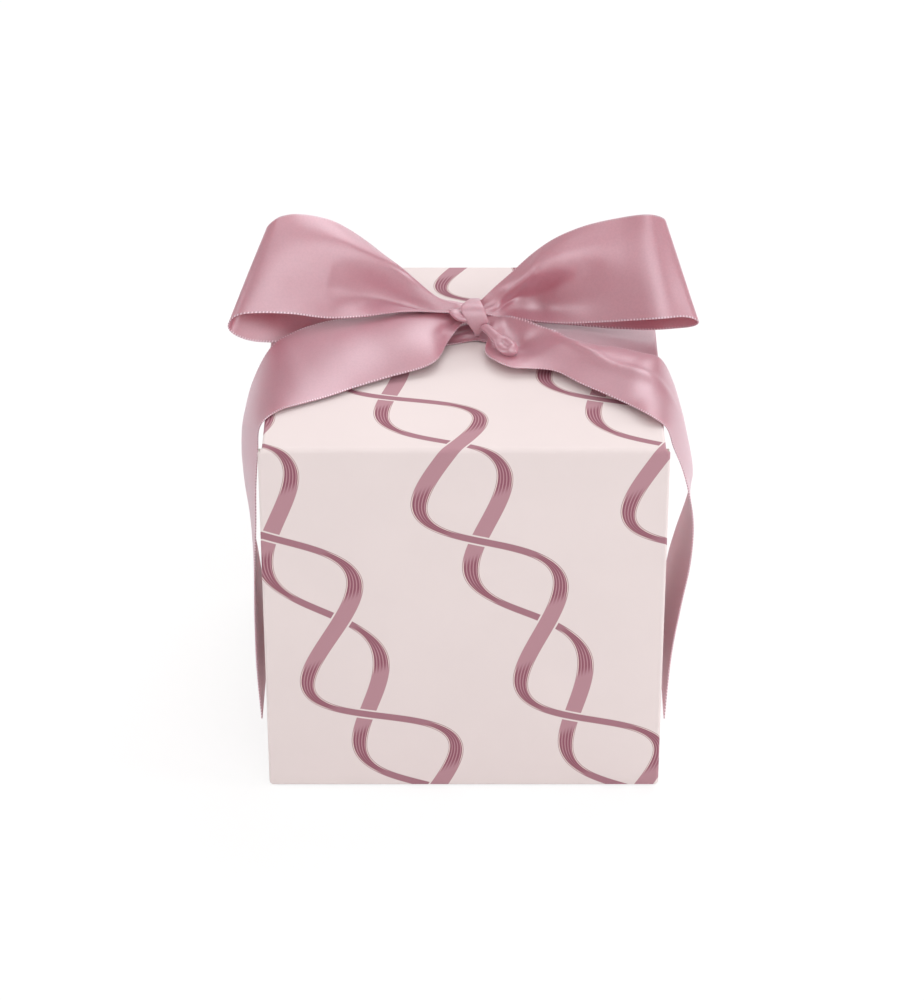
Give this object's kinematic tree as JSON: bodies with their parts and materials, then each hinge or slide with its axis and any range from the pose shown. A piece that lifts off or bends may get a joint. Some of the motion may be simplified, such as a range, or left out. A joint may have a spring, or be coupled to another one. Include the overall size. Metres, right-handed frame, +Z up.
{
  "type": "gift box",
  "caption": "Cube-shaped hinged gift box with a full-height front flap, tied round its lid with a wide satin ribbon bow.",
  "frame": {"origin": "middle of the box's underside, on the surface it stands on", "axes": "+Z up, -Y towards the front flap, +X to the right as seen from the front"},
  "size_m": [0.1558, 0.128, 0.1695],
  "materials": {
    "grey_board": "matte grey board",
    "base_paper": "matte coated paper",
    "printed_paper": "matte coated printed paper",
    "tray_paper": "matte coated paper",
    "lining_paper": "matte uncoated paper",
    "steel_plate": "zinc plated",
    "magnet": "nickel plated",
    "satin_ribbon": "double-faced satin"
  },
  "bodies": {
    "tray": {"base_board": "grey_board", "back_board": "grey_board", "base_paper": "base_paper", "back_paper": "printed_paper", "tray_front_board": "grey_board", "tray_back_board": "grey_board", "tray_left_board": "grey_board", "tray_right_board": "grey_board", "tray_floor_board": "grey_board", "tray_wrap": "tray_paper", "tray_liner": "lining_paper", "plate_left": "steel_plate", "plate_right": "steel_plate"},
    "lid": {"lid_board": "grey_board", "lid_paper": "printed_paper", "lid_liner": "lining_paper", "hinge_paper_rear": "printed_paper", "hinge_paper_front": "printed_paper", "ribbon_band": "satin_ribbon", "knot_wrap": "satin_ribbon", "knot_lobe": "satin_ribbon", "knot_curl": "satin_ribbon", "loop_left": "satin_ribbon", "loop_right": "satin_ribbon", "tail_left": "satin_ribbon", "tail_right": "satin_ribbon"},
    "flap": {"flap_board": "grey_board", "flap_paper": "printed_paper", "flap_liner": "lining_paper", "magnet_left": "magnet", "magnet_right": "magnet"}
  },
  "joints": [
    {"name": "lid_hinge", "type": "hinge", "parent": "tray", "child": "lid", "pos_m": [0, 0.064, 0.13], "axis": [-1, 0, 0], "range_deg": [0, 110]},
    {"name": "flap_hinge", "type": "hinge", "parent": "lid", "child": "flap", "pos_m": [0, -0.064, 0.13], "axis": [-1, 0, 0], "range_deg": [0, 90]}
  ]
}
